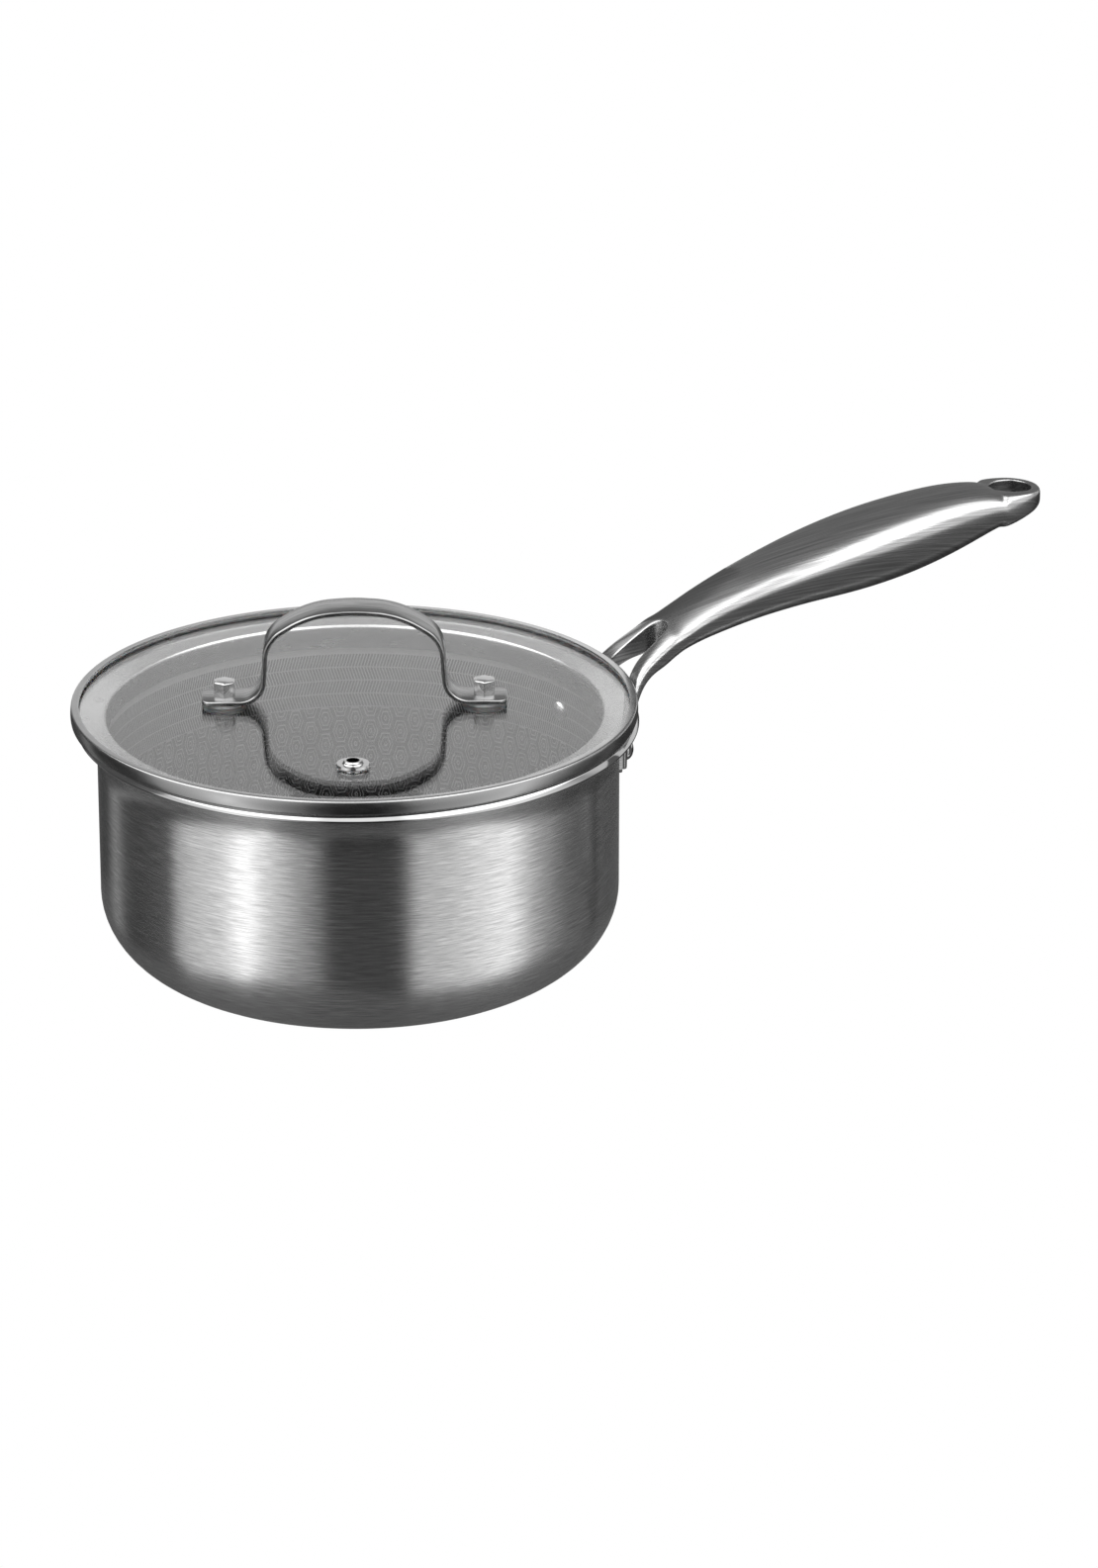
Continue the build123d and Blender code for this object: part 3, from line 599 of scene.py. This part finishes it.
handle = {
    # reach, half width, underside, top
    "grip": [(119.5, 12.9, 96.7, 107.4), (122.5, 12.9, 97.8, 109.1), (126.5, 12.9, 99.1, 111.3),
             (132.0, 13.3, 100.6, 114.2), (141.0, 14.3, 102.9, 118.1), (150.0, 15.2, 104.8, 121.6),
             (160.0, 16.3, 106.4, 125.1), (170.0, 17.2, 107.6, 128.4), (180.0, 17.8, 108.3, 131.4),
             (190.0, 18.0, 109.2, 134.0), (200.0, 17.7, 110.6, 136.2), (210.0, 17.0, 112.4, 137.8),
             (219.0, 16.0, 114.6, 139.0), (228.0, 14.8, 117.2, 139.8), (236.0, 13.8, 120.2, 139.6),
             (241.5, 13.1, 122.4, 139.0), (244.5, 12.9, 123.6, 138.4), (246.0, 12.8, 124.2, 137.7)],
    # each branch round the slot's end: reach, inside edge, outside edge, underside, top
    "branch": [(117.1, 2.6, 13.0, 95.8, 106.0), (115.2, 4.6, 13.1, 95.1, 105.0),
               (111.6, 5.6, 13.3, 92.7, 102.4)],
    # down to the foot: distance from the pan's axis, height, middle across, half width, thickness
    "neck": [(106.1, 94.5, 10.2, 4.1, 5.8), (101.9, 90.7, 11.9, 4.0, 4.2), (98.7, 85.7, 14.6, 4.1, 3.6),
             (95.9, 80.6, 17.4, 5.2, 3.2), (94.0, 77.2, 18.9, 6.4, 3.0), (93.3, 74.0, 19.1, 6.5, 2.45),
             (93.28, 69.5, 19.1, 6.5, 2.45), (93.28, 65.0, 19.1, 6.5, 2.45),
             (93.28, 63.35, 19.1, 6.3, 2.3)],
    # either side of the hole: reach, inside edge, outside edge
    "eye": [(247.2, 3.4, 12.6), (249.8, 5.6, 12.3), (252.6, 7.0, 11.9)],
    "slotEnd": 117.5, "topPower": 2.3, "lowPower": 2.7, "widest": 0.6, "slabPower": 3.6,
    # how round the neck starts and the rings over which it squares, then how far inner walls stand back
    "slabFrom": 2.5, "slabOver": 4,
    "branchWall": 0.9, "branchEase": 0.3, "slotEase": (0.5, 0.9),
    "tip": 265.4, "tipRadius": 11.4, "tipRings": (72, 54, 36, 18, 0), "holeEnd": 262.2, "holeRadius": 7.4,
    "holeBack": 0.4, "holeEase": 0.3, "eyeLow": (124.6, 130.6), "eyeHigh": (137.5, 136.6),
    "eyeOver": 16.0, "crease": 0.75,
}
outerCount = 12          # steps round the outer side of half the handle
innerCount = 5           # points up its inner side
topEdge = outerCount + innerCount          # places of the two inner corners in a ring
lowEdge = outerCount + 1


def gripHalf(reach, half, low, high, side):
    # half a grip section, from the top over the outer side to the underside
    widest = low + handle["widest"] * (high - low)
    ring = []
    for k in range(outerCount + 1):
        angle = pi * k / outerCount
        upperHalf = k <= outerCount / 2
        power = 2 / (handle["topPower"] if upperHalf else handle["lowPower"])
        rise = (high - widest) if upperHalf else (low - widest)
        across = side * half * abs(sin(angle)) ** power
        ring.append(Vector((reach, across, widest + rise * abs(cos(angle)) ** power)))
    return ring


def slab(centre, half, upWay, acrossWay, thick, squareness):
    # a section with a rounded outer side and a square inner side
    power = 2 / squareness
    ring = []
    for k in range(outerCount + 1):
        angle = pi * k / outerCount
        up = (1 if k < outerCount / 2 else -1) * abs(cos(angle)) ** power
        ring.append(centre + acrossWay * (half * sin(angle) ** power) + upWay * (up * thick / 2))
    for k in range(innerCount):
        up = 2 * k / (innerCount - 1) - 1
        ring.append(centre - acrossWay * half + upWay * (up * thick / 2))
    return ring


def innerColumn(reach, low, high):
    # the upright wall that the two branches share at the end of a slot or hole
    return [Vector((reach, 0, low + (high - low) * k / (innerCount - 1))) for k in range(innerCount)]


skin = {"points": [], "faces": [], "crisp": []}


def addRing(ring):
    start = len(skin["points"])
    skin["points"] += ring
    return list(range(start, start + len(ring)))


def bridge(a, b, corners=()):
    count = len(a)
    for k in range(count):
        n = (k + 1) % count
        skin["faces"].append((a[k], a[n], b[n], b[k]))
    for k in corners:
        skin["crisp"].append((a[k], b[k], handle["crease"]))


def halfRing(ring, side):
    # the outer half of a whole grip ring, top to underside
    if side > 0:
        return ring[:outerCount + 1]
    return [ring[0]] + ring[outerCount + 1:][::-1] + [ring[outerCount]]


gripRings = []
for reach, half, low, high in handle["grip"]:
    left, right = gripHalf(reach, half, low, high, 1), gripHalf(reach, half, low, high, -1)
    gripRings.append(addRing(left + right[1:-1][::-1]))
for a, b in zip(gripRings, gripRings[1:]):
    bridge(a, b)

first, last = handle["grip"][0], handle["grip"][-1]
lowEase, highEase = handle["slotEase"]
slotWall = addRing(innerColumn(handle["slotEnd"], first[2] - lowEase, first[3] - highEase))
for side in (1, -1):
    previous = halfRing(gripRings[0], side) + slotWall
    stations = []
    for reach, inside, outside, low, high in handle["branch"]:
        ring = []
        start = inside + handle["branchWall"]
        for p in gripHalf(reach, outside, low, high, side):
            ring.append(Vector((reach, side * (start + (outside - start) * abs(p.y) / outside), p.z)))
        inner = innerColumn(reach, low + handle["branchEase"], high - handle["branchEase"])
        stations.append(ring + [p + Vector((0, side * inside, 0)) for p in inner])
    neck = handle["neck"]
    for k, (out, up, middle, half, thick) in enumerate(neck):
        before, after = neck[max(k - 1, 0)], neck[min(k + 1, len(neck) - 1)]
        way = Vector((after[0] - before[0], 0, after[1] - before[1])).normalized()
        face = Vector((abs(way.z), 0, -way.x if way.z > 0 else way.x))
        squared = min(k / handle["slabOver"], 1)
        squareness = handle["slabFrom"] + squared * (handle["slabPower"] - handle["slabFrom"])
        flat = slab(Vector((out, side * middle, up)), half, -face, Vector((0, side, 0)), thick, squareness)
        stations.append([Vector((sqrt(p.x ** 2 - p.y ** 2), p.y, p.z)) for p in flat])
    for station in stations:
        ring = addRing(station)
        bridge(previous, ring, (topEdge, lowEdge))
        previous = ring
    skin["faces"].append(tuple(previous))

holeWall = addRing(innerColumn(last[0] - handle["holeBack"], last[2] + handle["holeEase"],
                               last[3] - handle["holeEase"]))
holeCentre = handle["holeEnd"] - handle["holeRadius"]
tipCentre = handle["tip"] - handle["tipRadius"]
eye = [(Vector((reach, inside)), Vector((reach, outside))) for reach, inside, outside in handle["eye"]]
for angle in handle["tipRings"]:
    way = Vector((cos(radians(angle)), sin(radians(angle))))
    inner = Vector((holeCentre, 0)) + way * handle["holeRadius"]
    eye.append((inner, Vector((tipCentre, 0)) + way * handle["tipRadius"]))
eye += [(Vector((a.x, -a.y)), Vector((b.x, -b.y))) for a, b in eye[-2::-1]]
previous = halfRing(gripRings[-1], 1) + holeWall
for inner, outer in eye:
    centre = (inner + outer) / 2
    way = (outer - inner).normalized()
    share = min(max((centre.x - last[0]) / handle["eyeOver"], 0), 1)
    low = handle["eyeLow"][0] + (handle["eyeLow"][1] - handle["eyeLow"][0]) * share
    high = handle["eyeHigh"][0] + (handle["eyeHigh"][1] - handle["eyeHigh"][0]) * share
    middle = Vector((centre.x, centre.y, (low + high) / 2))
    ring = addRing(slab(middle, (outer - inner).length / 2, Vector((0, 0, 1)), Vector((way.x, way.y, 0)),
                        high - low, handle["slabFrom"] + share))
    bridge(previous, ring, (topEdge, lowEdge))
    previous = ring
bridge(previous, halfRing(gripRings[-1], -1) + holeWall, (topEdge, lowEdge))

grip = meshObject("handleSkin", skin["points"], skin["faces"], "pan", brushedHandle,
                  crisp=skin["crisp"])
smoother = grip.modifiers.new("smoother", "SUBSURF")
smoother.levels = smoother.render_levels = 2
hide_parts("handle_fork", "grip_upper_shell", "grip_lower_shell", "hanging_eye")
print("handle built")

# Floor, dark cards beside the handle, painted shadow under the pan, light and camera

# place in metres, angles in degrees, lens and sensor in millimetres
view = {"place": (-0.7867, -1.8425, 0.8431), "pitch": 21.252, "turn": -25.0, "lens": 203.71, "sensor": 36.0}
studio = {
    "floorHalf": 3000.0, "floorColour": "#ffffff",
    # dark cards that only reflections show: first and last corner in millimetres, brightness
    "cards": {
        "front": ((112, -60, 15), (420, -60, 122), 0.14),
        "back": ((145, 60, 120), (420, 60, 420), 0.2),
        "neck": ((114, 22, 92), (150, 22, 135), 0.12),
        # painted shadow: a dark sheet under the pan where only its shade on the floor lies, shown only in
        # reflections
        "mat": ((-110, -110, 0.3), (110, 110, 0.3), 0.12),
    },
    # brightness by direction round the object: 0 towards the camera, minus to its left
    "below": [(-180, 0.06), (-140, 0.06), (-136, 0.4), (-131, 0.4), (-127, 0.05), (-88, 0.06), (-85, 0.6),
              (-62, 0.85), (-50, 1.9), (-43, 1.0), (-24, 0.3), (-12, 0.02), (22, 0.02), (29, 0.5),
              (50, 0.75), (64, 1.1), (71, 1.35), (84, 0.45), (100, 0.12), (125, 0.05), (180, 0.05)],
    "above": [(-180, 0.86), (-160, 0.86), (-146, 0.12), (-104, 0.12), (-88, 0.2), (-84, 0.9), (-45, 1.4),
              (-20, 0.55), (-10, 0.03), (18, 0.03), (24, 0.8), (74, 1.3), (96, 0.8), (106, 0.4),
              (114, 0.8), (180, 0.86)],
    "strip": [(-180, 0.3), (-134, 0.3), (-114, 3.4), (-26, 3.0), (-14, 1.4), (20, 1.4), (30, 3.0),
              (98, 3.4), (124, 0.3), (180, 0.3)],
    "under": 0.13,
    # each ring takes over from the one below as the direction's rise goes between two values
    "belowFrom": (-0.95, -0.78), "aboveFrom": (-0.17, -0.07), "stripFrom": (0.44, 0.54),
    "full": 4.0,          # brightness at the top of the colour ramps, which hold 0 to 1
}


def stageSheet(name, corners, material):
    mesh = bpy.data.meshes.new(name)
    mesh.from_pydata([Vector(c) * mm for c in corners], [], [(0, 1, 2, 3)])
    mesh.materials.append(material)
    sheet = bpy.data.objects.new(name, mesh)
    bpy.context.scene.collection.objects.link(sheet)
    return sheet


# white paper: it lights the object from below as paper does and is plain white to the camera
backdropPaper, tree = newMaterial("backdropPaper")
paper = addNode(tree, "BsdfDiffuse", linear(studio["floorColour"]))
plainWhite = addNode(tree, "Emission", (1, 1, 1, 1), 1.0)
seen = addNode(tree, "LightPath", output="Is Camera Ray")
addNode(tree, "OutputMaterial", addNode(tree, "MixShader", seen, paper, plainWhite))
half = studio["floorHalf"]
floorCorners = [(-half, -half, 0), (half, -half, 0), (half, half, 0), (-half, half, 0)]
floor = stageSheet("floorSheet", floorCorners, backdropPaper)
floor.visible_glossy = False

# dark grey felt on cards: calm dark stretches in the steel and the glass; the card under the pan is painted
# shadow, the pan's own shade on the floor as the steel shows it
for name, (a, b, level) in studio["cards"].items():
    card, tree = newMaterial(name + "CardFelt")
    addNode(tree, "OutputMaterial", addNode(tree, "Emission", (1, 1, 1, 1), level))
    corners = [a, (b[0], a[1], a[2]), b, (a[0], b[1], b[2])]
    sheet = stageSheet(name + "Card", corners, card)
    sheet.visible_camera = sheet.visible_diffuse = sheet.visible_transmission = sheet.visible_shadow = False

world = bpy.data.worlds.new("studio")
bpy.context.scene.world = world
world.use_nodes = True
tree = world.node_tree
tree.nodes.clear()
east = addNode(tree, "SeparateXYZ", addNode(tree, "TexCoord", output="Generated"))
north, height = east.node.outputs[1], east.node.outputs[2]
azimuth = addNode(tree, "Math", north, east, operation="ARCTAN2")
start = (90 - view["turn"] + 180) / 360          # the ramps begin behind the object, away from the camera
turn = addNode(tree, "Math", azimuth, 1 / (2 * pi), start, operation="MULTIPLY_ADD")
turn = addNode(tree, "Math", turn, operation="FRACT")


def grey(level):
    share = level / studio["full"]
    return (share, share, share, 1)


light = grey(studio["under"])
for ring in ("below", "above", "strip"):
    ramp = addNode(tree, "ValToRGB", turn)
    elements = ramp.node.color_ramp.elements
    elements.remove(elements[-1])
    for k, (degree, level) in enumerate(studio[ring]):
        place = (degree + 180) / 360
        item = elements[0] if k == 0 else elements.new(place)
        item.position = place
        item.color = grey(level)
    weight = addNode(tree, "MapRange", height, *studio[ring + "From"], interpolation_type="SMOOTHSTEP")
    light = addNode(tree, "Mix", weight, named={6: light, 7: ramp}, data_type="RGBA", output=2)
studioLight = addNode(tree, "Background", light, studio["full"])
white = addNode(tree, "Background", (1, 1, 1, 1), 1.0)
seen = addNode(tree, "LightPath", output="Is Camera Ray")
addNode(tree, "OutputWorld", addNode(tree, "MixShader", seen, studioLight, white))

cameraData = bpy.data.cameras.new("camera")
camera = bpy.data.objects.new("camera", cameraData)
bpy.context.scene.collection.objects.link(camera)
camera.location = view["place"]
camera.rotation_euler = (radians(90 - view["pitch"]), 0, radians(view["turn"]))
cameraData.sensor_fit = "HORIZONTAL"
cameraData.sensor_width = view["sensor"]
cameraData.lens = view["lens"]
cameraData.clip_end = 20
bpy.context.scene.camera = camera
bpy.context.scene.view_settings.view_transform = "Standard"
print("stage set")
